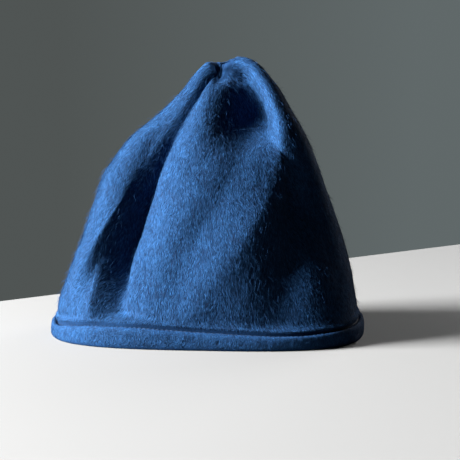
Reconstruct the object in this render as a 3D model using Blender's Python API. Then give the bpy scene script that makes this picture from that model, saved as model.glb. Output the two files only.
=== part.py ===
"""Cloth beanie that stands on its hem, with its top gathered into soft folds.

Metres, +Z up. The front of the hat looks along -Y and its wider side lies along X. The hat stands on Z = 0.

The crown is one hollow wall of cloth. A point of it has two numbers: the angle around the hat, measured from
the front towards +X, and the share of the way up the cloth, from 0 at the hem to 1 at the gather. The four
sections (left, right, front and back) say how far out and how high the cloth is at each share. The folds pull
the wall in or swell it out along a line up the crown, and the pushes move a patch of it as a whole.
The hem band is a folded roll of the same cloth around the crown's lower edge, which sits in its channel.
"""

import bpy
import numpy as np

for old in list(bpy.data.objects):
    bpy.data.objects.remove(old, do_unlink=True)

# Driving sizes
HEM_WIDTH = 0.216       # over the hem band, left to right
HEM_DEPTH = 0.147       # over the hem band, front to back
HAT_HEIGHT = 0.190      # floor to the top of the highest fold
CLOTH = 0.0026          # thickness of the crown's cloth
OUTER_LEG = 0.0042      # thickness of the hem band outside the crown
INNER_LEG = 0.0017      # and inside the crown
OUTER_LEG_HEIGHT = 0.0115  # usual height of the band outside the crown
INNER_LEG_HEIGHT = 0.0075  # and inside the crown
BAND_FLOOR = 0.0028     # cloth under the crown's lower edge
CLEARANCE = 0.0003      # between the crown and the band
TOP_SHIFT = 0.0085      # how far the gather stands to the right of the hem's middle
BEAD = 0.0013           # how far the ridge above the groove stands out
BEAD_RISE = 0.0027      # how far the middle of the ridge stands above the top of the band
BEAD_HALF = 0.0016      # half the ridge's height

# Sizes that follow
RIM_INSET = OUTER_LEG + CLEARANCE
HALF_WIDTH = HEM_WIDTH / 2 - RIM_INSET
HALF_DEPTH = HEM_DEPTH / 2 - RIM_INSET
EDGE_HEIGHT = BAND_FLOOR + CLEARANCE
FOLD_START = OUTER_LEG_HEIGHT + BEAD_RISE  # the crown is straight up to about here
CHANNEL = CLEARANCE + CLOTH + CLEARANCE

# Squareness of the hem's outline: 2 is an ellipse, and more is fuller at the corners. It fades to an ellipse
# between two shares of the way up
FRONT_SQUARENESS = 3.0
BACK_SQUARENESS = 2.3
SQUARE_UP_TO_SHARE = 0.04
ROUND_FROM_SHARE = 0.46

# The folds lean down into the gather, which closes this far above the end of the lowest one
GATHER_RISE = 0.001

# The crown leans to the right by TOP_SHIFT times this power of the share, so mostly near the top
LEAN_POWER = 3.5

# Folds and pushes leave the crown as it is up to the first of these shares, inside the channel of the hem
# band, and are whole from the second one
CHANNEL_SHARE = 0.042
CLEAR_SHARE = 0.08

# Sections of the crown. Out is a share of HALF_WIDTH or HALF_DEPTH, and up is a share of the way from
# FOLD_START to HAT_HEIGHT. Below the share START_SHARE the crown goes straight down into the hem band
START_SHARE = 0.05
SECTION_COLUMNS = ("share", "left_out", "left_up", "right_out", "right_up",
                   "front_out", "front_up", "back_out", "back_up")
SECTIONS = (
    (START_SHARE, 1.0, 0.0, 1.0, 0.0, 1.0, 0.0, 1.0, 0.0),
    (0.09, 0.995, 0.045, 0.99, 0.045, 1.005, 0.045, 1.005, 0.045),
    (0.20, 0.915, 0.17, 0.955, 0.175, 0.985, 0.17, 0.985, 0.175),
    (0.32, 0.83, 0.30, 0.895, 0.31, 0.925, 0.30, 0.94, 0.31),
    (0.44, 0.76, 0.435, 0.81, 0.45, 0.85, 0.435, 0.87, 0.45),
    (0.55, 0.69, 0.56, 0.735, 0.575, 0.74, 0.555, 0.785, 0.575),
    (0.66, 0.535, 0.69, 0.645, 0.69, 0.61, 0.675, 0.68, 0.69),
    (0.76, 0.355, 0.785, 0.54, 0.785, 0.45, 0.77, 0.55, 0.79),
    (0.85, 0.215, 0.875, 0.42, 0.885, 0.29, 0.845, 0.375, 0.875),
    (0.93, 0.12, 0.955, 0.255, 0.98, 0.145, 0.89, 0.205, 0.97),
    (0.97, 0.07, 0.98, 0.14, 1.0, 0.075, 0.90, 0.12, 0.98),
    (1.00, 0.03, 0.965, 0.03, 0.97, 0.04, 0.915, 0.04, 0.97),
)

# Folds of the crown: the angle (degrees) and the depth (share of the way to the axis, below 0 swells out) at
# each of the knots, which are shares of the way up, and the half width (degrees) at the hem and at the gather
FOLD_KNOTS = (START_SHARE, 0.28, 0.58, 0.76, 0.90)
FOLD_COLUMNS = ("name", "angles", "depths", "half_degrees")
FOLDS = (
    ("left_valley", (-30, -40.5, -38, -36, -35), (0.05, 0.27, 0.27, 0.25, 0.44), (4.5, 10.5)),
    ("panel_slope", (-24, -29, -29, -28, -28), (0.03, 0.08, 0.10, 0.09, 0.04), (16, 14)),
    ("left_lobe_dent", (-62, -60, -53, -50, -49), (0.0, 0.02, 0.16, 0.07, 0.0), (7, 10)),
    ("hem_ridge", (-37, -46, -47, -47, -47), (-0.055, -0.07, 0.0, 0.0, 0.0), (3.2, 3.2)),
    ("hem_tuck", (-24, -24, -24, -24, -24), (0.02, 0.0, 0.0, 0.0, 0.0), (6, 4)),
    ("right_crease", (30, 40, 61, 62, 62), (0.06, 0.12, 0.11, 0.0, 0.0), (13, 14)),
    ("front_dent", (-12, -4, 18, 30, 30), (0.0, 0.035, 0.04, 0.0, 0.0), (9, 11)),
    ("front_swell", (-6, 13, 44, 50, 50), (-0.02, -0.03, -0.055, 0.0, 0.0), (9, 12)),
    ("right_flat", (62, 62, 62, 62, 62), (0.0, 0.04, 0.05, 0.0, 0.0), (14, 14)),
    ("back_right_valley", (122, 120, 126, 130, 132), (0.01, 0.05, 0.10, 0.16, 0.26), (9, 16)),
    ("back_middle_valley", (172, 174, 180, 182, 182), (0.02, 0.05, 0.12, 0.22, 0.30), (8, 15)),
    ("back_left_valley", (-116, -122, -120, -120, -125), (0.01, 0.08, 0.14, 0.22, 0.16), (8, 15)),
)

FOLD_SHARPNESS = 1.6    # a fold has this many of its fading lengths in its half width
DEEPEST_FOLD_SHARE = 0.88     # most of the way to the axis that the folds take together

# Pushes: a patch of the crown around an angle (degrees) and a share of the way up. Its half widths are given
# to the left and right (degrees), and below and above (shares). Slant is how much the share rises with each
# degree. A higher steepness makes the patch flatter inside with steeper sides. Across and back are shares of
# how far out the section is at the point's own height, to the side and to the front or back
PUSH_COLUMNS = ("name", "angle", "share", "left", "right", "below", "above", "slant",
                "side_steepness", "rise_steepness", "across", "back")
PUSHES = (
    ("pocket", 34, 0.815, 20, 16, 0.12, 0.17, 0.0015, 2.6, 2.8, 0.04, 0.74),
    ("roll_edge", 55, 0.77, 11, 13, 0.14, 0.15, 0.0, 2.2, 2.5, -0.10, -0.04),
    ("right_roll", 72, 0.75, 17, 22, 0.20, 0.17, 0.0, 2.4, 2.5, 0.0, -0.50),
    ("roll_top_dent", 40, 0.935, 14, 12, 0.03, 0.03, 0.0, 2.2, 2.2, 0.0, 0.25),
    ("left_lobe", -60, 0.42, 17, 11.5, 0.20, 0.20, 0.0, 2.2, 2.7, 0.0, -0.32),
)

# Waves of the hem: angle (degrees), change of the band's height (share of it), half width (degrees)
WAVE_COLUMNS = ("angle", "change", "half_degrees")
WAVES = (
    (-27, 0.24, 22),
    (33, -0.20, 20),
    (-60, -0.16, 12),
    (105, 0.10, 25),
    (170, -0.10, 25),
    (-140, 0.08, 20),
)

# Columns of the mesh: from this angle, to this angle (degrees), how many
COLUMN_GROUPS = ((-180, -84, 12), (-84, -54, 7), (-54, -26, 12), (-26, 26, 10), (26, 60, 12), (60, 96, 8),
                 (96, 180, 11))
# Rows of the outer face, and of the inner one, as shares of the way up
OUTER_ROWS = (0.0, 0.03, 0.042, 0.05, 0.058, 0.066, 0.08, 0.10, 0.14, 0.19, 0.24, 0.29, 0.34, 0.39, 0.44,
              0.49, 0.54, 0.58, 0.61, 0.635, 0.66, 0.68, 0.70, 0.73, 0.77, 0.81, 0.85, 0.89, 0.92, 0.945,
              0.965, 0.985, 1.0)
INNER_ROWS = (0.0, 0.028, 0.05, 0.08, 0.14, 0.20, 0.26, 0.32, 0.38, 0.44, 0.50, 0.56, 0.605, 0.65, 0.69,
              0.73, 0.77, 0.795, 0.82)
# The inner face follows the outer one's direction over this many degrees to each side, and over this share up
# and down, which grows by so much for each share of the way up
SMOOTHING_DEGREES = 8.0
SMOOTHING_SHARE = 0.004
SMOOTHING_GROWTH_SHARE = 0.03

# Cross-section of the band: which leg, how far across it (share of the leg, from the outside in), which of
# the three heights it is measured on, and the share of that height
BAND_COLUMNS = ("leg", "across", "height", "up")
BAND_SECTION = (
    ("outer", 0.00, "outer", 0.52), ("outer", 0.03, "outer", 0.72), ("outer", 0.14, "outer", 0.88),
    ("outer", 0.37, "outer", 0.98), ("outer", 0.63, "outer", 0.99), ("outer", 0.87, "outer", 0.92),
    ("outer", 1.00, "outer", 0.80), ("outer", 1.00, "floor", 1.00), ("inner", 0.00, "floor", 1.00),
    ("inner", 0.00, "inner", 0.88), ("inner", 0.47, "inner", 1.00), ("inner", 1.00, "inner", 0.86),
    ("inner", 1.00, "inner", 0.20), ("inner", 0.73, "inner", 0.04), ("inner", 0.25, "inner", 0.00),
    ("outer", 0.65, "outer", 0.00), ("outer", 0.28, "outer", 0.05), ("outer", 0.06, "outer", 0.22),
)


def column(table, names, name):
    return np.array([row[names.index(name)] for row in table], float)


def along(x, xs, ys):
    """Smooth curve through the points (xs, ys), level beyond its ends and at its turning points."""
    xs, ys = np.asarray(xs, float), np.asarray(ys, float)
    slope = np.diff(ys) / np.diff(xs)
    at_point = np.concatenate([slope[:1], (slope[1:] + slope[:-1]) / 2, slope[-1:]])
    at_point[1:-1][slope[1:] * slope[:-1] <= 0] = 0
    x = np.clip(x, xs[0], xs[-1])
    i = np.clip(np.searchsorted(xs, x) - 1, 0, len(xs) - 2)
    step = xs[i + 1] - xs[i]
    t = (x - xs[i]) / step
    return ((1 + 2 * t) * (1 - t) ** 2 * ys[i] + t * (1 - t) ** 2 * step * at_point[i]
            + t * t * (3 - 2 * t) * ys[i + 1] + t * t * (t - 1) * step * at_point[i + 1])


def turn(angle, middle):
    """How far an angle is from the middle, both in degrees, between -180 and 180."""
    return (angle - middle + 180) % 360 - 180


def outline(angle, share):
    """How far out the hem's outline is, against a circle: 1 on the axes and more between them."""
    sine, cosine = np.sin(np.radians(angle)), np.cos(np.radians(angle))
    square = BACK_SQUARENESS + (FRONT_SQUARENESS - BACK_SQUARENESS) * (0.5 + 0.5 * cosine)
    fullness = (ROUND_FROM_SHARE - share) / (ROUND_FROM_SHARE - SQUARE_UP_TO_SHARE)
    square = 2 + (square - 2) * np.clip(fullness, 0, 1)
    return (np.abs(sine) ** square + np.abs(cosine) ** square) ** (-1 / square)


def pinch(angle, share):
    """Share of the way to the axis by which the folds pull the wall in."""
    total = 0.0
    for _, angles, depths, (low, high) in FOLDS:
        gap = turn(angle, along(share, FOLD_KNOTS, angles))
        reach = (low + (high - low) * share) / FOLD_SHARPNESS
        total = total + along(share, FOLD_KNOTS, depths) / np.cosh(gap / reach)
    return np.minimum(total * above_band(share), DEEPEST_FOLD_SHARE)


def above_band(share):
    """0 in the hem band's channel, and 1 from where the crown is clear of the band."""
    t = np.clip((share - CHANNEL_SHARE) / (CLEAR_SHARE - CHANNEL_SHARE), 0, 1)
    return t * t * (3 - 2 * t)


def patch(distance, steepness):
    """1 in the middle of a patch and about a half where the distance is 1."""
    return 0.5 ** (np.abs(distance) ** steepness)


def band_height(angle):
    height = 1.0
    for middle, change, half in WAVES:
        height = height + change * np.exp(-(turn(angle, middle) / half) ** 2)
    return OUTER_LEG_HEIGHT * height


def crown(angle, share):
    """Points of the crown's outer face."""
    angle, share = np.broadcast_arrays(np.asarray(angle, float), np.asarray(share, float))
    shares = column(SECTIONS, SECTION_COLUMNS, "share")
    part = {name: along(share, shares, column(SECTIONS, SECTION_COLUMNS, name))
            for name in SECTION_COLUMNS[1:]}
    sine, cosine = np.sin(np.radians(angle)), np.cos(np.radians(angle))
    wide = HALF_WIDTH * np.where(sine < 0, part["left_out"], part["right_out"])
    deep = HALF_DEPTH * np.where(cosine > 0, part["front_out"], part["back_out"])
    up = (sine ** 2 * np.where(sine < 0, part["left_up"], part["right_up"])
          + cosine ** 2 * np.where(cosine > 0, part["front_up"], part["back_up"]))
    # The crown's height follows the wave of the hem, which fades on the way up. The ridge is above the groove
    band = band_height(angle)
    rise = share / START_SHARE
    z = EDGE_HEIGHT + (FOLD_START - EDGE_HEIGHT) * np.minimum(rise, 1) + (HAT_HEIGHT - FOLD_START) * up
    z = z + (band - OUTER_LEG_HEIGHT) * rise * np.exp(1 - rise)
    bead = BEAD * np.exp(-((z - band - BEAD_RISE) / BEAD_HALF) ** 2)
    keep = (1 - pinch(angle, share)) * outline(angle, share)
    x = TOP_SHIFT * share ** LEAN_POWER + (wide + bead) * sine * keep
    y = -(deep + bead) * cosine * keep
    for _, middle, level, left, right, below, above, slant, sides, rises, across, back in PUSHES:
        du = turn(angle, middle)
        ds = share - level - slant * du
        much = (above_band(share) * patch(du / np.where(du < 0, left, right), sides)
                * patch(ds / np.where(ds < 0, below, above), rises))
        x = x + wide * across * much
        y = y + deep * back * much
    return np.stack([x, y, z], -1)


def outward(angle, share):
    """Unit directions out of the crown's outer face."""
    angle, share = np.broadcast_arrays(np.asarray(angle, float), np.asarray(share, float))
    around = crown(angle + SMOOTHING_DEGREES, share) - crown(angle - SMOOTHING_DEGREES, share)
    step = SMOOTHING_SHARE + SMOOTHING_GROWTH_SHARE * share
    up = crown(angle, np.minimum(share + step, 1)) - crown(angle, np.maximum(share - step, 0))
    out = np.cross(around, up)
    return out / np.maximum(np.linalg.norm(out, axis=-1, keepdims=True), 1e-12)


def rim(angle, inset):
    """The hem's outline, this far in from the outside of the band."""
    out = outline(angle, 0.0)
    return np.stack([(HEM_WIDTH / 2 - inset) * np.sin(np.radians(angle)) * out,
                     -(HEM_DEPTH / 2 - inset) * np.cos(np.radians(angle)) * out], -1)


def strip(rows, columns, start, flip):
    """Quads between the rings of a grid, whose first vertex has the number start."""
    quads = []
    for i in range(rows - 1):
        for j in range(columns):
            k = (j + 1) % columns
            quad = (start + i * columns + j, start + i * columns + k,
                    start + (i + 1) * columns + k, start + (i + 1) * columns + j)
            quads.append(quad[::-1] if flip else quad)
    return quads


def cloth_material(name, colour, roughness):
    material = bpy.data.materials.new(name)
    material.use_nodes = True
    surface = material.node_tree.nodes["Principled BSDF"]
    surface.inputs["Base Color"].default_value = (*colour, 1.0)
    surface.inputs["Roughness"].default_value = roughness
    surface.inputs["Metallic"].default_value = 0.0
    return material


def body(name, points, faces, material):
    mesh = bpy.data.meshes.new(name)
    mesh.from_pydata([tuple(map(float, p)) for p in points], [], faces)
    mesh.materials.append(material)
    mesh.validate()
    mesh.shade_smooth()
    thing = bpy.data.objects.new(name, mesh)
    bpy.context.scene.collection.objects.link(thing)
    return thing


angles = np.concatenate([np.linspace(a, b, n, endpoint=False) for a, b, n in COLUMN_GROUPS])
count = len(angles)

# Crown: the outer face up to the gather, the inner face up to its flat top, and the lower edge between them
outer = crown(angles[None, :], np.array(OUTER_ROWS)[:, None])
inner_share = np.array(INNER_ROWS)[:, None]
inner = crown(angles[None, :], inner_share) - CLOTH * outward(angles[None, :], inner_share)
inner[0, :, 2] = EDGE_HEIGHT
peak = np.array([TOP_SHIFT, 0.0, outer[-1, :, 2].min() + GATHER_RISE])
points = np.concatenate([outer.reshape(-1, 3), inner.reshape(-1, 3), [peak]])
inner_start = outer.shape[0] * count
top = len(points) - 1
faces = strip(len(OUTER_ROWS), count, 0, False) + strip(len(INNER_ROWS), count, inner_start, True)
last_outer, last_inner = (len(OUTER_ROWS) - 1) * count, inner_start + (len(INNER_ROWS) - 1) * count
for j in range(count):
    k = (j + 1) % count
    faces.append((last_outer + j, last_outer + k, top))
    faces.append((k, j, inner_start + j, inner_start + k))
faces.append(tuple(range(last_inner, last_inner + count))[::-1])
body("crown", points, faces, cloth_material("crown_cloth", (0.020, 0.058, 0.150), 0.95))

# Hem band: its cross-section taken around the hem
heights = {"outer": band_height(angles), "inner": np.full(count, INNER_LEG_HEIGHT),
           "floor": np.full(count, BAND_FLOOR)}
rings = []
for leg, across, which, share in BAND_SECTION:
    inset = OUTER_LEG * across if leg == "outer" else OUTER_LEG + CHANNEL + INNER_LEG * across
    rings.append(np.concatenate([rim(angles, inset), (share * heights[which])[:, None]], axis=1))
faces = []
for i in range(len(rings)):
    n = (i + 1) % len(rings)
    for j in range(count):
        k = (j + 1) % count
        faces.append((i * count + j, i * count + k, n * count + k, n * count + j))
body("hem_band", np.concatenate(rings), faces, cloth_material("hem_cloth", (0.018, 0.052, 0.135), 0.95))
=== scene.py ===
"""Looks of a brushed wool beanie that stands on its hem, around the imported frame.

Metres, +Z up. The front looks along -Y. A point of the crown has two numbers: the angle around the hat
in degrees, measured from the front towards +X, and the share of the way up the cloth, from 0 at the hem
to 1 at the gather. The nap is made of small closed slivers of wool that lie down the cloth.
"""
import math

import bpy
import numpy as np
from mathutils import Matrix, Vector


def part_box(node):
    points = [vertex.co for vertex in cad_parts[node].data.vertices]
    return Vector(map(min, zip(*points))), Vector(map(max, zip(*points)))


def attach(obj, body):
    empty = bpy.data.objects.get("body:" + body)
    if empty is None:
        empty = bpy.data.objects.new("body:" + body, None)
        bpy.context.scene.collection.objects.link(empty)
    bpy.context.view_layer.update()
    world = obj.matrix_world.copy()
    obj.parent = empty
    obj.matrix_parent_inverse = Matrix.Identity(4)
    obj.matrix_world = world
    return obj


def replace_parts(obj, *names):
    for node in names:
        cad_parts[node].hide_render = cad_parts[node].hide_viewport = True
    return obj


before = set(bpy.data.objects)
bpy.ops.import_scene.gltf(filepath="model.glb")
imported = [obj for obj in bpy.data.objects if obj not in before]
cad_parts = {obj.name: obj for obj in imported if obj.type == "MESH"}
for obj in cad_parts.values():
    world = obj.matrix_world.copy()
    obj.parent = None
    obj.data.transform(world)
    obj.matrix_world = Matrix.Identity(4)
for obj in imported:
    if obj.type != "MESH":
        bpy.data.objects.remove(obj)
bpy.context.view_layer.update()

BAND_LOW, BAND_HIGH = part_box("hem_band")
CROWN_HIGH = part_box("crown")[1]

# Sizes of the hat
HEM_WIDTH = BAND_HIGH.x - BAND_LOW.x
HEM_DEPTH = BAND_HIGH.y - BAND_LOW.y
HAT_HEIGHT = CROWN_HIGH.z
CLOTH = 0.0026
OUTER_LEG = 0.0042
INNER_LEG = 0.0017
OUTER_LEG_HEIGHT = 0.0115
INNER_LEG_HEIGHT = 0.0075
BAND_FLOOR = 0.0028
CLEARANCE = 0.0003
TOP_SHIFT = 0.0085
BEAD = 0.0013
BEAD_RISE = 0.0027
BEAD_HALF = 0.0016

RIM_INSET = OUTER_LEG + CLEARANCE
HALF_WIDTH = HEM_WIDTH / 2 - RIM_INSET
HALF_DEPTH = HEM_DEPTH / 2 - RIM_INSET
EDGE_HEIGHT = BAND_FLOOR + CLEARANCE
FOLD_START = OUTER_LEG_HEIGHT + BEAD_RISE
CHANNEL = CLEARANCE + CLOTH + CLEARANCE

# Squareness of the hem's outline: 2 is an ellipse, and more is fuller at the corners
FRONT_SQUARENESS = 3.0
BACK_SQUARENESS = 2.3
SQUARE_UP_TO_SHARE = 0.04
ROUND_FROM_SHARE = 0.46

# Sections of the crown, as in the CAD: out is a share of the half width or depth, up of the height
START_SHARE = 0.05
CHANNEL_SHARE = 0.042
CLEAR_SHARE = 0.08
LEAN_POWER = 3.5
GATHER_RISE = 0.001
SECTION_COLUMNS = ("share", "left_out", "left_up", "right_out", "right_up",
                   "front_out", "front_up", "back_out", "back_up")
SECTIONS = (
    (START_SHARE, 1.0, 0.0, 1.0, 0.0, 1.0, 0.0, 1.0, 0.0),
    (0.09, 0.995, 0.045, 0.99, 0.045, 1.005, 0.045, 1.005, 0.045),
    (0.20, 0.915, 0.17, 0.955, 0.175, 0.985, 0.17, 0.985, 0.175),
    (0.32, 0.83, 0.30, 0.895, 0.31, 0.925, 0.30, 0.94, 0.31),
    (0.44, 0.76, 0.435, 0.81, 0.45, 0.85, 0.435, 0.87, 0.45),
    (0.55, 0.69, 0.56, 0.735, 0.575, 0.74, 0.555, 0.785, 0.575),
    (0.66, 0.535, 0.69, 0.645, 0.69, 0.61, 0.675, 0.68, 0.69),
    (0.76, 0.355, 0.785, 0.54, 0.785, 0.45, 0.77, 0.55, 0.79),
    (0.85, 0.215, 0.875, 0.42, 0.885, 0.29, 0.845, 0.375, 0.875),
    (0.93, 0.12, 0.955, 0.255, 0.98, 0.145, 0.89, 0.205, 0.97),
    (0.97, 0.07, 0.98, 0.14, 1.0, 0.075, 0.90, 0.12, 0.98),
    (1.00, 0.03, 0.965, 0.03, 0.97, 0.04, 0.915, 0.04, 0.97),
)

# Folds: name, angles and depths at the knots, and half widths in degrees at the hem and at the gather
FOLD_KNOTS = (START_SHARE, 0.28, 0.58, 0.76, 0.90)
FOLDS = (
    ("left_valley", (-30, -40.5, -38, -36, -35), (0.05, 0.27, 0.27, 0.25, 0.44), (4.5, 10.5)),
    ("panel_slope", (-24, -29, -29, -28, -28), (0.03, 0.08, 0.10, 0.09, 0.04), (16, 14)),
    ("left_lobe_dent", (-62, -60, -53, -50, -49), (0.0, 0.02, 0.16, 0.07, 0.0), (7, 10)),
    ("hem_ridge", (-37, -46, -47, -47, -47), (-0.055, -0.07, 0.0, 0.0, 0.0), (3.2, 3.2)),
    ("hem_tuck", (-24, -24, -24, -24, -24), (0.02, 0.0, 0.0, 0.0, 0.0), (6, 4)),
    ("right_crease", (30, 40, 61, 62, 62), (0.06, 0.12, 0.11, 0.0, 0.0), (13, 14)),
    ("front_dent", (-12, -4, 18, 30, 30), (0.0, 0.035, 0.04, 0.0, 0.0), (9, 11)),
    ("front_swell", (-6, 13, 44, 50, 50), (-0.02, -0.03, -0.055, 0.0, 0.0), (9, 12)),
    ("right_flat", (62, 62, 62, 62, 62), (0.0, 0.04, 0.05, 0.0, 0.0), (14, 14)),
    ("back_right_valley", (122, 120, 126, 130, 132), (0.01, 0.05, 0.10, 0.16, 0.26), (9, 16)),
    ("back_middle_valley", (172, 174, 180, 182, 182), (0.02, 0.05, 0.12, 0.22, 0.30), (8, 15)),
    ("back_left_valley", (-116, -122, -120, -120, -125), (0.01, 0.08, 0.14, 0.22, 0.16), (8, 15)),
)
FOLD_SHARPNESS = 1.6
DEEPEST_FOLD_SHARE = 0.88

# Patches of the crown that are pushed across and back: name, angle and share of the middle, reach to the left
# and right in degrees, reach below and above in shares, slant, steepness of the sides and of the rise, and
# the moves across and back as shares of the section's half width and half depth
PUSHES = (
    ("pocket", 34, 0.815, 20, 16, 0.12, 0.17, 0.0015, 2.6, 2.8, 0.04, 0.74),
    ("roll_edge", 55, 0.77, 11, 13, 0.14, 0.15, 0.0, 2.2, 2.5, -0.10, -0.04),
    ("right_roll", 72, 0.75, 17, 22, 0.20, 0.17, 0.0, 2.4, 2.5, 0.0, -0.50),
    ("roll_top_dent", 40, 0.935, 14, 12, 0.03, 0.03, 0.0, 2.2, 2.2, 0.0, 0.25),
    ("left_lobe", -60, 0.42, 17, 11.5, 0.20, 0.20, 0.0, 2.2, 2.7, 0.0, -0.32),
)

# Waves of the hem: angle, change of the band's height, half width
WAVES = (
    (-27, 0.24, 22),
    (33, -0.20, 20),
    (-60, -0.16, 12),
    (105, 0.10, 25),
    (170, -0.10, 25),
    (-140, 0.08, 20),
)

# The hem band's cross-section: leg, how far across it, which height, share of that height
BAND_SECTION = (
    ("outer", 0.00, "outer", 0.52), ("outer", 0.03, "outer", 0.72), ("outer", 0.14, "outer", 0.88),
    ("outer", 0.37, "outer", 0.98), ("outer", 0.63, "outer", 0.99), ("outer", 0.87, "outer", 0.92),
    ("outer", 1.00, "outer", 0.80), ("outer", 1.00, "floor", 1.00), ("inner", 0.00, "floor", 1.00),
    ("inner", 0.00, "inner", 0.88), ("inner", 0.47, "inner", 1.00), ("inner", 1.00, "inner", 0.86),
    ("inner", 1.00, "inner", 0.20), ("inner", 0.73, "inner", 0.04), ("inner", 0.25, "inner", 0.00),
    ("outer", 0.65, "outer", 0.00), ("outer", 0.28, "outer", 0.05), ("outer", 0.06, "outer", 0.22),
)

# Meshes
CROWN_COLUMNS = 360
CROWN_ROWS = 150
INSIDE_ROWS = 36
INSIDE_TOP = 0.70       # share at which the hollow ends below the gathered cloth
BAND_COLUMNS = 840
INSIDE_SPREAD = (8.0, 0.02)     # degrees and share over which the inside's direction is smoothed

# Small unevenness of the cloth
WAVES_IN_A_SET = 24
DENT_DEPTH = 0.00022
PUCKER_DEPTH = 0.00008
BAND_DENT_DEPTH = 0.00010
BAND_PUCKER_DEPTH = 0.00014
BAND_BULGE_LIMIT = 0.0003
BAND_WAVES_MIDDLE = 2.5         # place of the middle of the band's part that has the waves
BAND_WAVES_REACH = 3.5          # the waves are whole for half of this to each side, and gone at 1.5 of it

# Nap: a pair is a least and a most, apart from the tilt, and angles are in radians
SEED = 7                # for the waves, with 1 more for the nap and the hairs and 2 more for the stitches
NAP_SLIVERS = 36000     # on each quarter of the crown
NAP_SHARES = (0.0455, 0.985)
NAP_LOWEST = 0.044      # share below which no sliver reaches
NAP_LENGTH = (0.0024, 0.0050)
NAP_WIDTH = (0.00018, 0.00036)
NAP_LIFT = (0.00005, 0.00020)
NAP_ROOT = 0.00015      # how deep a sliver starts in the cloth
NAP_MIDDLE = 0.45       # where along its length a sliver is widest
NAP_TILT = (0.10, 0.06) # spread of its slope, across and along
LIE_TURNS = (0.22, 0.13)        # how far the large and the small waves turn the fibres
NAP_LIE_SPREAD = 0.13
ROOM_SHARE = 0.6        # most of the way down to the nap's lower end that a sliver takes
NAP_TONE = 0.48
NAP_TONE_WAVES = 0.06
NAP_TONE_SPREAD = 0.24
NAP_ROOT_SHADE_TIP_LIGHT = (-0.15, 0.0, 0.0, 0.08)   # painted shade at a sliver's root, where the pile shades it, and painted light at its tip: changes of tone at its root, two sides and tip
HEM_SLIVERS = 20000
HEM_NAP_PLACES = (-1.6, 5.4)
HEM_NAP_LOWEST = -1.9
HEM_NAP_LENGTH = (0.0018, 0.0034)
HEM_LIE_SPREAD = 0.5
# Steps for slopes: degrees with a share of the crown, degrees with a place on the band
CROWN_STEPS = (0.8, 0.004)
BAND_STEPS = (0.3, 0.05)

# Loose hairs
LOOSE_HAIRS = 5000
HAIR_SHARES = (0.05, 0.999)
HAIR_LENGTH = (0.003, 0.0075)
HAIR_WIDTH = (0.00005, 0.00010)
HAIR_ROOT = 0.0003
HAIR_LIFT = 0.0002
HAIR_RISE = 0.00060
HAIR_RISE_LIMIT = 0.0032
HAIR_BEND = 0.2
HAIR_KNOTS = ((0.35, 0.30), (0.7, 0.72), (1.0, 1.0))    # shares of a hair's length and of its rise
HAIR_THICKNESS = 1.6    # how far its third side stands out, in halves of its width
HAIR_LIE_SPREAD = 0.45
HAIR_TONE = (0.1, 0.9)

# Stitches in the groove above the hem band, and the dimples that they pull into it
STITCH_PITCH = 0.0030
STITCH_LENGTH = 0.0019
STITCH_THICKNESS = 0.00055
STITCH_LEVEL = 0.97     # share of the band's height
STITCH_TONE = (0.3, 1.0)
STITCH_ALONG, STITCH_UP = 0.97, 0.24    # its direction
STITCH_PLACES = (-0.5, -0.42, -0.2, 0.2, 0.42, 0.5)     # of its rings, as shares of its length
STITCH_RADII = (0.25, 0.8, 1.0, 1.0, 0.8, 0.25)         # of its rings, as shares of the greatest
DIMPLE_DEPTH = 0.00032
DIMPLE_PLACE = 4.3
DIMPLE_REACH = 1.6

# Finishes
WOOL_ROUGHNESS = 0.95
WOOL_SPECULAR = 0.08
WOOL_RAMP = (0.30, 0.72)        # shades at which the cloth is darkest and lightest
WOOL_BUMP = 0.4
WOOL_BUMP_DEPTH = 0.0006
FIBRE_ROUGHNESS = 0.9
FIBRE_SPECULAR = 0.16
THREAD_ROUGHNESS = 0.6
FLOOR_ROUGHNESS = 0.8
FLOOR_SPECULAR = 0.5

# Floor: a board, its length and width, its middle, its turn and its edge
FLOOR_SIZE = (1.60, 0.98)
FLOOR_MIDDLE = (0.10, -0.30)
FLOOR_TURN = math.radians(48)
FLOOR_EDGE = 0.003
FLOOR_THICKNESS = 0.03
FLOOR_GREY = (0.188, 0.188, 0.186, 1.0)
FLOOR_GREY_ON_THE_HAT = (0.03, 0.03, 0.03, 1.0)

# Lights: name, place, size and power
LIGHT_TARGET = (0.0, 0.0, 0.09)
LIGHTS = (
    ("window", (-1.949, -0.671, 0.800), 0.82, 500),
    ("far_side", (1.15, 1.95, 0.90), 1.2, 32),
)
FILL = (0.0025, 0.0030, 0.0036, 1.0)

# The wall's greys, and the directions of sight, by their part along +X, between which they change
WALL_LEFT = (0.080, 0.090, 0.088, 1.0)
WALL_RIGHT = (0.118, 0.140, 0.142, 1.0)
WALL_FROM, WALL_TO = -0.22, 0.05

# The picture that the camera takes, in pixels, and the camera's place
PICTURE = 460
FOCAL_PIXELS = 1280
SENSOR = 36.0
CAMERA_TURN = math.radians(5.3)     # it stands this far around from the front, towards +X
CAMERA_SIDE = 0.0151
CAMERA_DISTANCE = 0.883
CAMERA_HEIGHT = 0.1606
CAMERA_TILT = math.radians(5.8)


def along(x, xs, ys):
    """Cubic curve through the points (xs, ys), with the mean slope of the two sides at each point, level
    where the slopes turn, and with the slope of its own side at each end."""
    xs, ys = np.asarray(xs, float), np.asarray(ys, float)
    slope = np.diff(ys) / np.diff(xs)
    at_point = np.concatenate([slope[:1], (slope[1:] + slope[:-1]) / 2, slope[-1:]])
    at_point[1:-1][slope[1:] * slope[:-1] <= 0] = 0
    x = np.clip(x, xs[0], xs[-1])
    i = np.clip(np.searchsorted(xs, x) - 1, 0, len(xs) - 2)
    step = xs[i + 1] - xs[i]
    t = (x - xs[i]) / step
    return ((1 + 2 * t) * (1 - t) ** 2 * ys[i] + t * (1 - t) ** 2 * step * at_point[i]
            + t * t * (3 - 2 * t) * ys[i + 1] + t * t * (t - 1) * step * at_point[i + 1])


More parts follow.
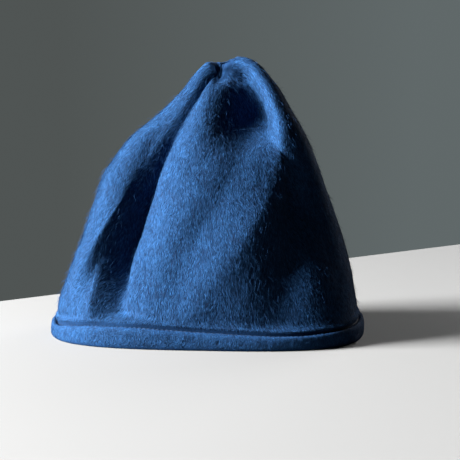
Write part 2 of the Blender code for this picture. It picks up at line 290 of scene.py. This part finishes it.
def turn(angle, middle):
    """Signed difference of two angles in degrees, between -180 and 180."""
    return (angle - middle + 180) % 360 - 180


def unit(v):
    """Vectors divided by their lengths."""
    return v / np.maximum(np.linalg.norm(v, axis=-1, keepdims=True), 1e-12)


def outline(angle, share):
    """Superellipse radius (|sin|^n + |cos|^n)^(-1/n), with n that changes from front to back and fades to 2
    on the way up."""
    sine, cosine = np.sin(np.radians(angle)), np.cos(np.radians(angle))
    square = BACK_SQUARENESS + (FRONT_SQUARENESS - BACK_SQUARENESS) * (0.5 + 0.5 * cosine)
    fade = np.clip((ROUND_FROM_SHARE - share) / (ROUND_FROM_SHARE - SQUARE_UP_TO_SHARE), 0, 1)
    square = 2 + (square - 2) * fade
    return (np.abs(sine) ** square + np.abs(cosine) ** square) ** (-1 / square)


def above_band(share):
    """Smooth step from 0 in the band's channel to 1 above the band."""
    t = np.clip((share - CHANNEL_SHARE) / (CLEAR_SHARE - CHANNEL_SHARE), 0, 1)
    return t * t * (3 - 2 * t)


def pinch(angle, share):
    """Sum over the folds of depth / cosh(distance / reach), the share of the way to the axis."""
    total = 0.0
    for _, angles, depths, (low, high) in FOLDS:
        gap = turn(angle, along(share, FOLD_KNOTS, angles))
        reach = (low + (high - low) * share) / FOLD_SHARPNESS
        total = total + along(share, FOLD_KNOTS, depths) / np.cosh(gap / reach)
    return np.minimum(total * above_band(share), DEEPEST_FOLD_SHARE)


def patch(distance, steepness):
    """One half to the power of distance to the power of steepness."""
    return 0.5 ** (np.abs(distance) ** steepness)


def band_height(angle):
    """The band's usual height times 1 plus a bell curve for each wave."""
    height = 1.0
    for middle, change, half in WAVES:
        height = height + change * np.exp(-(turn(angle, middle) / half) ** 2)
    return OUTER_LEG_HEIGHT * height


def smooth_crown(angle, share):
    """Ellipse of the section's out and up, times the outline and 1 minus the pinch, plus bead and pushes."""
    angle, share = np.broadcast_arrays(np.asarray(angle, float), np.asarray(share, float))
    shares = [row[0] for row in SECTIONS]
    part = {name: along(share, shares, [row[i] for row in SECTIONS])
            for i, name in enumerate(SECTION_COLUMNS) if i}
    sine, cosine = np.sin(np.radians(angle)), np.cos(np.radians(angle))
    wide = HALF_WIDTH * np.where(sine < 0, part["left_out"], part["right_out"])
    deep = HALF_DEPTH * np.where(cosine > 0, part["front_out"], part["back_out"])
    up = (sine ** 2 * np.where(sine < 0, part["left_up"], part["right_up"])
          + cosine ** 2 * np.where(cosine > 0, part["front_up"], part["back_up"]))
    band = band_height(angle)
    rise = share / START_SHARE
    z = EDGE_HEIGHT + (FOLD_START - EDGE_HEIGHT) * np.minimum(rise, 1) + (HAT_HEIGHT - FOLD_START) * up
    z = z + (band - OUTER_LEG_HEIGHT) * rise * np.exp(1 - rise)
    bead = BEAD * np.exp(-((z - band - BEAD_RISE) / BEAD_HALF) ** 2)
    keep = (1 - pinch(angle, share)) * outline(angle, share)
    x = TOP_SHIFT * share ** LEAN_POWER + (wide + bead) * sine * keep
    y = -(deep + bead) * cosine * keep
    for _, middle, level, left, right, below, above, slant, sides, rises, across, back in PUSHES:
        du = turn(angle, middle)
        ds = share - level - slant * du
        much = (above_band(share) * patch(du / np.where(du < 0, left, right), sides)
                * patch(ds / np.where(ds < 0, below, above), rises))
        x = x + wide * across * much
        y = y + deep * back * much
    return np.stack([x, y, z], -1)


def outward(angle, share, spread=1.5, rise=0.006):
    """Unit cross product of the crown's differences around and up, over this spread and rise."""
    around = smooth_crown(angle + spread, share) - smooth_crown(angle - spread, share)
    up = smooth_crown(angle, np.minimum(share + rise, 1)) - smooth_crown(angle, np.maximum(share - rise, 0))
    return unit(np.cross(around, up))


# Random cosine waves for the small unevenness of the cloth and for the lie of the nap
WAVE_DRAWS = np.random.default_rng(SEED)


def wave_set(size, spread):
    """Plane waves in space: random directions times 2 pi / wavelength, and random phases. The wavelengths
    spread around the size."""
    direction = unit(WAVE_DRAWS.normal(size=(WAVES_IN_A_SET, 3)))
    number = 2 * math.pi / (size * np.exp(WAVE_DRAWS.normal(0, spread, WAVES_IN_A_SET)))
    return direction * number[:, None], WAVE_DRAWS.uniform(0, 2 * math.pi, WAVES_IN_A_SET)


def unevenness(points, waves):
    """Sum of the plane waves cos(k . p + phase) over the root of their count, mostly from -1 to 1."""
    vectors, phases = waves
    total = np.zeros(points.shape[:-1])
    for vector, phase in zip(vectors, phases):
        total += np.cos(points @ vector + phase)
    return total / math.sqrt(len(phases))


DENTS = wave_set(0.030, 0.35)
PUCKERS = wave_set(0.009, 0.30)
LIE_LARGE = wave_set(0.022, 0.35)
LIE_SMALL = wave_set(0.0065, 0.30)
TONES = wave_set(0.011, 0.45)


def crown(angle, share):
    """The smooth crown moved along its outward direction by two sets of small waves, none in the channel."""
    points = smooth_crown(angle, share)
    depth = DENT_DEPTH * unevenness(points, DENTS) + PUCKER_DEPTH * unevenness(points, PUCKERS)
    return points + outward(angle, share) * (depth * above_band(share))[..., None]


def rim(angle, inset):
    """The hem's outline, this far in from the outside of the band, at z = 0."""
    out = outline(angle, 0.0)
    zero = np.zeros_like(out)
    return np.stack([(HEM_WIDTH / 2 - inset) * np.sin(np.radians(angle)) * out,
                     -(HEM_DEPTH / 2 - inset) * np.cos(np.radians(angle)) * out, zero], -1)


def rim_length(angle, inset):
    """Distance along the hem's outline from -180 degrees, and the whole length, from a fine table."""
    table = np.linspace(-180, 180, 4001)
    points = rim(table, inset)
    reached = np.concatenate([[0], np.cumsum(np.linalg.norm(np.diff(points, axis=0), axis=1))])
    return np.interp(angle, table, reached), reached[-1]


def band_surface(angle, place):
    """The band's section at a place from 0 to its number of points, carried around the hem's outline."""
    angle, place = np.broadcast_arrays(np.asarray(angle, float), np.asarray(place, float))
    start = OUTER_LEG + CHANNEL
    knots = np.arange(-2, len(BAND_SECTION) + 3)
    rows = [BAND_SECTION[k % len(BAND_SECTION)] for k in knots]
    insets = [OUTER_LEG * r[1] if r[0] == "outer" else start + INNER_LEG * r[1] for r in rows]
    inset = along(place, knots, insets)
    outer = along(place, knots, [r[3] if r[2] == "outer" else 0.0 for r in rows]) * band_height(angle)
    fixed = {"outer": 0.0, "inner": INNER_LEG_HEIGHT, "floor": BAND_FLOOR}
    z = outer + along(place, knots, [fixed[r[2]] * r[3] for r in rows])
    inset = inset.clip(0, start + INNER_LEG)
    points = rim(angle, 0.0) * (1 - inset[..., None] / np.array([HEM_WIDTH / 2, HEM_DEPTH / 2, 1.0]))
    points[..., 2] = z
    return points


def closed_rings(rows, columns, start=0, wrap_rows=False):
    """Quads (i, j), (i, j + 1), (i + 1, j + 1), (i + 1, j) of a grid whose columns close on themselves."""
    i = np.arange(rows if wrap_rows else rows - 1)[:, None]
    j = np.arange(columns)[None, :]
    k, n = (j + 1) % columns, (i + 1) % rows
    quads = np.stack([i * columns + j, i * columns + k, n * columns + k, n * columns + j], -1)
    return start + quads.reshape(-1, 4)


def make_piece(name, points, faces, material, smooth=True):
    """A mesh object at the origin, from points and faces or lists of faces, riding on the one body."""
    mesh = bpy.data.meshes.new(name)
    mesh.from_pydata(np.asarray(points, float).tolist(), [], [tuple(f) for f in faces])
    mesh.validate()
    if smooth:
        mesh.shade_smooth()
    mesh.materials.append(material)
    piece = bpy.data.objects.new(name, mesh)
    bpy.context.scene.collection.objects.link(piece)
    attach(piece, "root")
    return piece


def set_values(piece, name, values):
    """Stores one number for each vertex, as an attribute that the materials read."""
    attribute = piece.data.attributes.new(name, "FLOAT", "POINT")
    attribute.data.foreach_set("value", np.asarray(values, np.float32))


# Materials

def link(tree, start, end):
    """Joins an output of a node to an input of another."""
    tree.links.new(start, end)


def fleece_group():
    """Node group: fine streaks down the cloth and soft blotches, as a Shade from 0 to 1 and a Height."""
    group = bpy.data.node_groups.new("fleece", "ShaderNodeTree")
    for name, value in (("Streak Scale", 900.0), ("Stretch", 0.22), ("Blotch Scale", 90.0),
                        ("Blotch Share", 0.35)):
        socket = group.interface.new_socket(name, in_out="INPUT", socket_type="NodeSocketFloat")
        socket.default_value = value
    for name in ("Shade", "Height"):
        group.interface.new_socket(name, in_out="OUTPUT", socket_type="NodeSocketFloat")
    nodes = group.nodes
    given, taken = nodes.new("NodeGroupInput"), nodes.new("NodeGroupOutput")
    place = nodes.new("ShaderNodeTexCoord")
    squeeze = nodes.new("ShaderNodeCombineXYZ")
    squeeze.inputs["X"].default_value = 1.0
    squeeze.inputs["Y"].default_value = 1.0
    link(group, given.outputs["Stretch"], squeeze.inputs["Z"])
    scaled = nodes.new("ShaderNodeVectorMath")
    scaled.operation = "MULTIPLY"
    link(group, place.outputs["Object"], scaled.inputs[0])
    link(group, squeeze.outputs[0], scaled.inputs[1])
    streaks = nodes.new("ShaderNodeTexNoise")
    streaks.inputs["Detail"].default_value = 3.0
    streaks.inputs["Roughness"].default_value = 0.6
    streaks.inputs["Distortion"].default_value = 0.4
    link(group, scaled.outputs[0], streaks.inputs["Vector"])
    link(group, given.outputs["Streak Scale"], streaks.inputs["Scale"])
    blotches = nodes.new("ShaderNodeTexNoise")
    blotches.inputs["Detail"].default_value = 2.0
    link(group, place.outputs["Object"], blotches.inputs["Vector"])
    link(group, given.outputs["Blotch Scale"], blotches.inputs["Scale"])
    mixed = nodes.new("ShaderNodeMix")
    mixed.data_type = "FLOAT"
    link(group, given.outputs["Blotch Share"], mixed.inputs["Factor"])
    link(group, streaks.outputs["Fac"], mixed.inputs["A"])
    link(group, blotches.outputs["Fac"], mixed.inputs["B"])
    link(group, mixed.outputs["Result"], taken.inputs["Shade"])
    link(group, streaks.outputs["Fac"], taken.inputs["Height"])
    return group


def matt_material(name, roughness, specular):
    """A material, its node tree and its Principled shader."""
    material = bpy.data.materials.new(name)
    material.use_nodes = True
    tree = material.node_tree
    surface = tree.nodes["Principled BSDF"]
    surface.inputs["Roughness"].default_value = roughness
    surface.inputs["Specular IOR Level"].default_value = specular
    return material, tree, surface


def wool_material(name, dark, light, stretch):
    """Wool cloth: its colour goes from dark to light with the fleece's shade, and streaks make the bump."""
    material, tree, surface = matt_material(name, WOOL_ROUGHNESS, WOOL_SPECULAR)
    fleece = tree.nodes.new("ShaderNodeGroup")
    fleece.node_tree = FLEECE
    fleece.inputs["Stretch"].default_value = stretch
    ramp = tree.nodes.new("ShaderNodeValToRGB")
    ramp.color_ramp.elements[0].position = WOOL_RAMP[0]
    ramp.color_ramp.elements[0].color = (*dark, 1.0)
    ramp.color_ramp.elements[1].position = WOOL_RAMP[1]
    ramp.color_ramp.elements[1].color = (*light, 1.0)
    link(tree, fleece.outputs["Shade"], ramp.inputs["Fac"])
    link(tree, ramp.outputs["Color"], surface.inputs["Base Color"])
    height = tree.nodes.new("ShaderNodeBump")
    height.inputs["Strength"].default_value = WOOL_BUMP
    height.inputs["Distance"].default_value = WOOL_BUMP_DEPTH
    link(tree, fleece.outputs["Height"], height.inputs["Height"])
    link(tree, height.outputs["Normal"], surface.inputs["Normal"])
    return material


def fibre_material(name, dark, light, roughness):
    """Fibres: each takes its colour from its own tone, from dark to light."""
    material, tree, surface = matt_material(name, roughness, FIBRE_SPECULAR)
    tone = tree.nodes.new("ShaderNodeAttribute")
    tone.attribute_name = "tone"
    ramp = tree.nodes.new("ShaderNodeValToRGB")
    ramp.color_ramp.elements[0].color = (*dark, 1.0)
    ramp.color_ramp.elements[1].color = (*light, 1.0)
    link(tree, tone.outputs["Fac"], ramp.inputs["Fac"])
    link(tree, ramp.outputs["Color"], surface.inputs["Base Color"])
    return material


FLEECE = fleece_group()
# The crown's cloth under the nap keeps its own wool colour, darkened below the inside wool's as painted shade
# of the nap that covers it
CROWN_WOOL = wool_material("crown_wool", (0.0022, 0.010, 0.032), (0.0056, 0.029, 0.084), 0.22)
INSIDE_WOOL = wool_material("inside_wool", (0.0034, 0.015, 0.048), (0.0076, 0.036, 0.106), 0.22)
HEM_WOOL = wool_material("hem_wool", (0.0036, 0.017, 0.053), (0.0084, 0.043, 0.125), 1.0)
NAP_WOOL = fibre_material("nap_wool", (0.0022, 0.012, 0.040), (0.0145, 0.073, 0.198), FIBRE_ROUGHNESS)
LOOSE_WOOL = fibre_material("loose_wool", (0.005, 0.024, 0.070), (0.010, 0.050, 0.145), FIBRE_ROUGHNESS)
THREAD = fibre_material("sewing_thread", (0.004, 0.012, 0.034), (0.010, 0.030, 0.080), THREAD_ROUGHNESS)


# Cloth of the crown and the hem band

def make_crown():
    """Outer grid up to the gather, inner grid moved in by the cloth's thickness, both closed at the top: the
    outer with a fan to a peak, the inner with one face as its ceiling."""
    angles = np.linspace(-180, 180, CROWN_COLUMNS, endpoint=False)[None, :]
    outer_share = np.linspace(0, 1, CROWN_ROWS)[:, None]
    inner_share = np.linspace(0, INSIDE_TOP, INSIDE_ROWS)[:, None]
    outer = crown(angles, outer_share)
    inner = smooth_crown(angles, inner_share) - CLOTH * outward(angles, inner_share, *INSIDE_SPREAD)
    inner[0, :, 2] = EDGE_HEIGHT
    peak = np.array([TOP_SHIFT, 0.0, outer[-1, :, 2].min() + GATHER_RISE])
    points = np.concatenate([outer.reshape(-1, 3), inner.reshape(-1, 3), [peak]])
    first_inner = CROWN_ROWS * CROWN_COLUMNS
    j = np.arange(CROWN_COLUMNS)
    k = (j + 1) % CROWN_COLUMNS
    last = (CROWN_ROWS - 1) * CROWN_COLUMNS
    fan = np.stack([last + j, last + k, np.full_like(j, len(points) - 1)], -1)
    edge = np.stack([k, j, first_inner + j, first_inner + k], -1)
    ceiling = (first_inner + (INSIDE_ROWS - 1) * CROWN_COLUMNS + j)[::-1]
    faces = [*closed_rings(CROWN_ROWS, CROWN_COLUMNS),
             *closed_rings(INSIDE_ROWS, CROWN_COLUMNS, first_inner)[:, ::-1], *fan, *edge, ceiling]
    piece = make_piece("crown_cloth", points, faces, CROWN_WOOL)
    piece.data.materials.append(INSIDE_WOOL)
    which = np.zeros(len(piece.data.polygons), np.int32)
    outer_faces = (CROWN_ROWS - 1) * CROWN_COLUMNS
    which[outer_faces:outer_faces + (INSIDE_ROWS - 1) * CROWN_COLUMNS] = 1
    which[-1] = 1
    piece.data.polygons.foreach_set("material_index", which)
    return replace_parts(piece, "crown")


def band_places():
    """Places along the band's section: close together on the rounded parts, far apart in the channel."""
    fine = np.arange(0, 6.01, 0.34)
    rest = np.array([7, 8, 9, 9.5, 10, 10.5, 11, 12, 12.5, 13, 13.5, 14, 15, 15.5, 16, 16.4, 16.8,
                     17.2, 17.6])
    return np.concatenate([fine, rest])


def dimples(angle, place):
    """Depth of the small dents that the stitches pull into the band's upper edge, one for each stitch: a
    cosine along the hem times a bell curve over the places."""
    reached, whole = rim_length(angle, RIM_INSET)
    count = round(whole / STITCH_PITCH)
    wave = 0.5 + 0.5 * np.cos(2 * math.pi * count * reached / whole)
    return DIMPLE_DEPTH * wave * np.exp(-((place - DIMPLE_PLACE) / DIMPLE_REACH) ** 2)


def band_outside(angle, place):
    """The band's surface with its dimples, and with small waves on its outer leg, away from the axis."""
    points = band_surface(angle, place)
    radial = unit(rim(angle, 0.0))
    much = np.clip(1.5 - np.abs(place - BAND_WAVES_MIDDLE) / BAND_WAVES_REACH, 0, 1)
    waves = BAND_PUCKER_DEPTH * unevenness(points, PUCKERS) + BAND_DENT_DEPTH * unevenness(points, DENTS)
    points = points + radial * np.minimum(waves * much, BAND_BULGE_LIMIT)[..., None]
    points[..., 2] -= dimples(angle, place)
    return points


def make_band():
    """The section's places carried around the hem, closed both ways."""
    angles = np.linspace(-180, 180, BAND_COLUMNS, endpoint=False)[None, :]
    places = band_places()[:, None]
    points = band_outside(angles, places)
    faces = closed_rings(len(places), BAND_COLUMNS, wrap_rows=True)
    piece = make_piece("hem_cloth", points.reshape(-1, 3), faces, HEM_WOOL)
    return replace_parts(piece, "hem_band")


# Nap

def spread_evenly(surface, firsts, seconds, count, rng):
    """Random places on a surface, with the same chance for each bit of its area."""
    grid = surface(firsts[None, :], seconds[:, None])
    a = grid[1:, :-1] - grid[:-1, :-1]
    b = grid[:-1, 1:] - grid[:-1, :-1]
    area = np.linalg.norm(np.cross(a, b), axis=-1)
    chosen = np.searchsorted(np.cumsum(area.ravel()), rng.uniform(0, area.sum(), count))
    i, j = np.unravel_index(np.minimum(chosen, area.size - 1), area.shape)
    first = firsts[j] + (firsts[1] - firsts[0]) * rng.uniform(0, 1, count)
    second = seconds[i] + (seconds[i + 1] - seconds[i]) * rng.uniform(0, 1, count)
    return first, second


def local_frame(surface, first, second, step_first, step_second):
    """Differences along both numbers, and the unit direction out of the surface."""
    along_first = surface(first + step_first, second) - surface(first - step_first, second)
    along_first = along_first / (2 * step_first)
    along_second = surface(first, second + step_second) - surface(first, second - step_second)
    along_second = along_second / (2 * step_second)
    return along_first, along_second, unit(np.cross(along_first, along_second))


def steps_for(along_first, along_second, direction):
    """Changes of both numbers that go along a direction in the surface, by its 2 x 2 metric."""
    e = (along_first ** 2).sum(-1)
    f = (along_first * along_second).sum(-1)
    g = (along_second ** 2).sum(-1)
    p = (direction * along_first).sum(-1)
    q = (direction * along_second).sum(-1)
    det = np.maximum(e * g - f * f, 1e-3 * e * g + 1e-18)
    return (g * p - f * q) / det, (e * q - f * p) / det


def lie_angle(points, rng, spread):
    """How far each fibre turns from the way down, in radians: two sets of waves plus its own share."""
    return (LIE_TURNS[0] * unevenness(points, LIE_LARGE) + LIE_TURNS[1] * unevenness(points, LIE_SMALL)
            + rng.normal(0, spread, len(points)))


def slivers(root, left, right, tip, out):
    """Closed diamonds from root to tip, four triangles each. The pair of triangles that stands further out
    is the front: it is split across where the middle bulges out over the chord, and else along the chord."""
    points = np.stack([root, left, right, tip], axis=1)
    bulges = ((left + right - root - tip) * out).sum(-1) > 0
    split_across = np.array([(0, 2, 1), (3, 1, 2), (0, 1, 3), (0, 3, 2)])
    split_along = np.array([(0, 3, 1), (0, 2, 3), (0, 1, 2), (3, 2, 1)])
    faces = np.where(bulges[:, None, None], split_across, split_along)
    return points.reshape(-1, 3), (4 * np.arange(len(root))[:, None, None] + faces).reshape(-1, 3)


def lay_nap(name, form, surface, steps, first, second, lowest, lengths, spread, rng):
    """Slivers from the given places, down the surface and turned by the lie. Their normals are the form's,
    tilted by a random slope."""
    count = len(first)
    along_first, along_second, out = local_frame(form, first, second, *steps)
    down = unit(-along_second)
    across = unit(np.cross(out, down))
    base = surface(first, second)
    lie = lie_angle(base, rng, spread)
    heading = down * np.cos(lie)[:, None] + across * np.sin(lie)[:, None]
    length = rng.uniform(*lengths, count)
    per_first, per_second = steps_for(along_first, along_second, heading)
    lift = rng.uniform(*NAP_LIFT, count)[:, None]
    spine, normals = [base - out * NAP_ROOT], [out]
    room = (second - lowest) / np.maximum(-per_second, 1e-9)
    length = np.minimum(length, ROOM_SHARE * room)
    for share in (NAP_MIDDLE, 1.0):
        f, s = first + per_first * length * share, second + per_second * length * share
        normals.append(local_frame(form, f, s, *steps)[2])
        spine.append(surface(f, s) + normals[-1] * lift)
    half = unit(np.cross(spine[2] - spine[0], normals[1])) * rng.uniform(*NAP_WIDTH, count)[:, None] / 2
    points, faces = slivers(spine[0], spine[1] - half, spine[1] + half, spine[2], normals[1])
    piece = make_piece(name, points, faces, NAP_WOOL)
    slope = across * rng.normal(0, NAP_TILT[0], (count, 1)) + down * rng.normal(0, NAP_TILT[1], (count, 1))
    shading = unit(np.stack([n + slope for n in (normals[0], normals[1], normals[1], normals[2])], axis=1))
    piece.data.normals_split_custom_set_from_vertices(shading.reshape(-1, 3).tolist())
    tone = NAP_TONE + NAP_TONE_WAVES * unevenness(base, TONES) + rng.normal(0, NAP_TONE_SPREAD, count)
    # Each sliver's root is darkened as painted shade of the pile, and its tip is lightened as painted light
    set_values(piece, "tone", np.clip(tone[:, None] + np.array(NAP_ROOT_SHADE_TIP_LIGHT), 0, 1).ravel())
    return piece


def lay_hairs(first, second, rng):
    """Fine three-sided hairs with two bends on the crown, that rise from the cloth towards their tips."""
    count = len(first)
    base = crown(first, second)
    along_first, along_second, out = local_frame(smooth_crown, first, second, *CROWN_STEPS)
    down = unit(-along_second)
    across = unit(np.cross(out, down))
    lie = lie_angle(base, rng, HAIR_LIE_SPREAD)
    length = rng.uniform(*HAIR_LENGTH, count)
    rise = rng.gamma(2.0, HAIR_RISE, count).clip(0, HAIR_RISE_LIMIT)
    bend = rng.normal(0, HAIR_BEND, count)
    spine = [base - out * HAIR_ROOT]
    for share, lift in HAIR_KNOTS:
        way = lie + bend * (share - HAIR_KNOTS[0][0])
        heading = down * np.cos(way)[:, None] + across * np.sin(way)[:, None]
        per_first, per_second = steps_for(along_first, along_second, heading)
        f = first + per_first * length * share
        s = np.clip(second + per_second * length * share, *HAIR_SHARES)
        normal = local_frame(smooth_crown, f, s, *CROWN_STEPS)[2]
        spine.append(crown(f, s) + normal * (HAIR_LIFT + rise * lift)[:, None])
    half = rng.uniform(*HAIR_WIDTH, count)[:, None] / 2
    side = unit(np.cross(spine[3] - spine[0], out))
    rings = [np.stack([p - side * half, p + side * half, p + out * half * HAIR_THICKNESS], axis=1)
             for p in spine[1:3]]
    points = np.concatenate([spine[0][:, None], *rings, spine[3][:, None]], axis=1)
    shape = [(0, 2, 1), (0, 3, 2), (0, 1, 3), (7, 4, 5), (7, 5, 6), (7, 6, 4)]
    for a, b in ((1, 2), (2, 3), (3, 1)):
        shape += [(a, b, b + 3), (a, b + 3, a + 3)]
    faces = (8 * np.arange(count)[:, None, None] + np.array(shape)[None]).reshape(-1, 3)
    piece = make_piece("loose_hairs", points.reshape(-1, 3), faces, LOOSE_WOOL, smooth=False)
    set_values(piece, "tone", np.repeat(rng.uniform(*HAIR_TONE, count), 8))
    return piece


def make_nap():
    """Four quarters of the crown's nap, the hem band's nap and the loose hairs."""
    rng = np.random.default_rng(SEED + 1)
    pieces = []
    shares = np.linspace(*NAP_SHARES, 150)
    for name, start in (("nap_left", -135), ("nap_front", -45), ("nap_right", 45), ("nap_back", 135)):
        angles = np.linspace(start, start + 90, 91)
        first, second = spread_evenly(smooth_crown, angles, shares, NAP_SLIVERS, rng)
        pieces.append(lay_nap(name, smooth_crown, crown, CROWN_STEPS, first, second,
                              NAP_LOWEST, NAP_LENGTH, NAP_LIE_SPREAD, rng))
    angles = np.linspace(-180, 180, 361)
    places = np.linspace(*HEM_NAP_PLACES, 44)
    first, second = spread_evenly(band_surface, angles, places, HEM_SLIVERS, rng)
    pieces.append(lay_nap("nap_hem", band_surface, band_outside, BAND_STEPS, first, second,
                          HEM_NAP_LOWEST, HEM_NAP_LENGTH, HEM_LIE_SPREAD, rng))
    first, second = spread_evenly(smooth_crown, angles, shares, LOOSE_HAIRS, rng)
    pieces.append(lay_hairs(first, second, rng))
    return pieces


def make_stitches():
    """A row of short threads in the groove above the band: eight-sided spindles along the hem's outline."""
    whole = rim_length(0.0, RIM_INSET)[1]
    count = round(whole / STITCH_PITCH)
    table = np.linspace(-180, 180, 4001)
    reached = rim_length(table, RIM_INSET)[0]
    angle = np.interp(np.arange(count) / count * whole, reached, table)
    place = rim(angle, RIM_INSET - STITCH_THICKNESS)
    place[:, 2] = band_height(angle) * STITCH_LEVEL
    forward = unit(rim(angle + 0.5, RIM_INSET) - rim(angle - 0.5, RIM_INSET))
    up = np.array([0.0, 0.0, 1.0])
    out = unit(np.cross(forward, up))
    lengths = np.array(STITCH_PLACES) * STITCH_LENGTH
    radii = np.array(STITCH_RADII) * STITCH_THICKNESS / 2
    around = np.linspace(0, 2 * math.pi, 8, endpoint=False)
    ring = (np.cos(around)[None, None, :, None] * out[:, None, None, :]
            + np.sin(around)[None, None, :, None] * up)
    tilt = forward * STITCH_ALONG + up * STITCH_UP
    points = (place[:, None, None, :] + lengths[None, :, None, None] * tilt[:, None, None, :]
              + radii[None, :, None, None] * ring)
    one = closed_rings(6, 8)
    ends = [tuple(range(8))[::-1], tuple(range(40, 48))]
    faces = [tuple(f + 48 * n) for n in range(count) for f in (*one, *map(np.array, ends))]
    piece = make_piece("groove_stitches", points.reshape(-1, 3), faces, THREAD)
    rng = np.random.default_rng(SEED + 2)
    set_values(piece, "tone", np.repeat(rng.uniform(*STITCH_TONE, count), 48))
    return piece


crown_piece = make_crown()
band_piece = make_band()
nap_pieces = make_nap()
stitch_piece = make_stitches()


# Floor, light and camera

def floor_material():
    """Pale and plain for the camera, darker for the light that it throws back on the hat."""
    material, tree, surface = matt_material("floor_pale", FLOOR_ROUGHNESS, FLOOR_SPECULAR)
    path = tree.nodes.new("ShaderNodeLightPath")
    mixed = tree.nodes.new("ShaderNodeMix")
    mixed.data_type = "RGBA"
    mixed.inputs["A"].default_value = FLOOR_GREY
    mixed.inputs["B"].default_value = FLOOR_GREY_ON_THE_HAT
    link(tree, path.outputs["Is Diffuse Ray"], mixed.inputs["Factor"])
    link(tree, mixed.outputs["Result"], surface.inputs["Base Color"])
    return material


def make_floor():
    """A pale board with a bevelled edge, turned aside, and larger than the picture on its near side."""
    corners = np.array([[-1, -1], [1, -1], [1, 1], [-1, 1]], float)
    way = np.array([math.cos(FLOOR_TURN), math.sin(FLOOR_TURN)])
    aside = np.array([-way[1], way[0]])
    rings = []
    for inset, z in ((FLOOR_EDGE, 0.0), (0.0, -FLOOR_EDGE), (0.0, -FLOOR_THICKNESS)):
        u, v = (corners * (np.array(FLOOR_SIZE) / 2 - inset)).T
        flat = np.array(FLOOR_MIDDLE) + u[:, None] * way + v[:, None] * aside
        rings.append(np.concatenate([flat, np.full((4, 1), z)], axis=1))
    mesh = bpy.data.meshes.new("floor")
    faces = [(0, 1, 2, 3), *map(tuple, closed_rings(3, 4)[:, ::-1])]
    mesh.from_pydata(np.concatenate(rings).tolist(), [], faces)
    mesh.materials.append(floor_material())
    floor = bpy.data.objects.new("floor", mesh)
    bpy.context.scene.collection.objects.link(floor)


def add_light(name, place, size, power):
    """A square soft light at a place, turned to the hat, that the camera doesn't see."""
    light = bpy.data.lights.new(name, "AREA")
    light.size = size
    light.energy = power
    lamp = bpy.data.objects.new(name, light)
    lamp.location = place
    lamp.rotation_euler = (Vector(LIGHT_TARGET) - Vector(place)).to_track_quat("-Z", "Y").to_euler()
    lamp.visible_camera = False
    bpy.context.scene.collection.objects.link(lamp)


def set_world():
    """The wall's grey, from left to right of the front view, for the camera, and a weak fill for the rest."""
    world = bpy.data.worlds.new("studio")
    world.use_nodes = True
    tree = world.node_tree
    tree.nodes.clear()
    out = tree.nodes.new("ShaderNodeOutputWorld")
    mixed = tree.nodes.new("ShaderNodeMixShader")
    path = tree.nodes.new("ShaderNodeLightPath")
    even, wall = tree.nodes.new("ShaderNodeBackground"), tree.nodes.new("ShaderNodeBackground")
    even.inputs["Color"].default_value = FILL
    direction, parts = tree.nodes.new("ShaderNodeTexCoord"), tree.nodes.new("ShaderNodeSeparateXYZ")
    share = tree.nodes.new("ShaderNodeMapRange")
    share.inputs["From Min"].default_value, share.inputs["From Max"].default_value = WALL_FROM, WALL_TO
    ramp = tree.nodes.new("ShaderNodeValToRGB")
    ramp.color_ramp.elements[0].color, ramp.color_ramp.elements[1].color = WALL_LEFT, WALL_RIGHT
    link(tree, direction.outputs["Generated"], parts.inputs[0])
    link(tree, parts.outputs["X"], share.inputs["Value"])
    link(tree, share.outputs["Result"], ramp.inputs["Fac"])
    link(tree, ramp.outputs["Color"], wall.inputs["Color"])
    link(tree, even.outputs[0], mixed.inputs[1])
    link(tree, wall.outputs[0], mixed.inputs[2])
    link(tree, path.outputs["Is Camera Ray"], mixed.inputs[0])
    link(tree, mixed.outputs[0], out.inputs["Surface"])
    bpy.context.scene.world = world


def make_camera():
    """A camera a little to the +X side of the front, above the floor, looking slightly down."""
    right = Vector((math.cos(CAMERA_TURN), math.sin(CAMERA_TURN), 0))
    back = Vector((math.sin(CAMERA_TURN), -math.cos(CAMERA_TURN), 0))
    data = bpy.data.cameras.new("camera")
    data.sensor_width = SENSOR
    data.lens = FOCAL_PIXELS / PICTURE * SENSOR
    camera = bpy.data.objects.new("camera", data)
    camera.location = right * CAMERA_SIDE + back * CAMERA_DISTANCE + Vector((0, 0, CAMERA_HEIGHT))
    look = -back * math.cos(CAMERA_TILT) - Vector((0, 0, math.sin(CAMERA_TILT)))
    camera.rotation_euler = look.to_track_quat("-Z", "Y").to_euler()
    bpy.context.scene.collection.objects.link(camera)
    bpy.context.scene.camera = camera


make_floor()
for light_values in LIGHTS:
    add_light(*light_values)
set_world()
make_camera()
bpy.context.scene.view_settings.view_transform = "Standard"
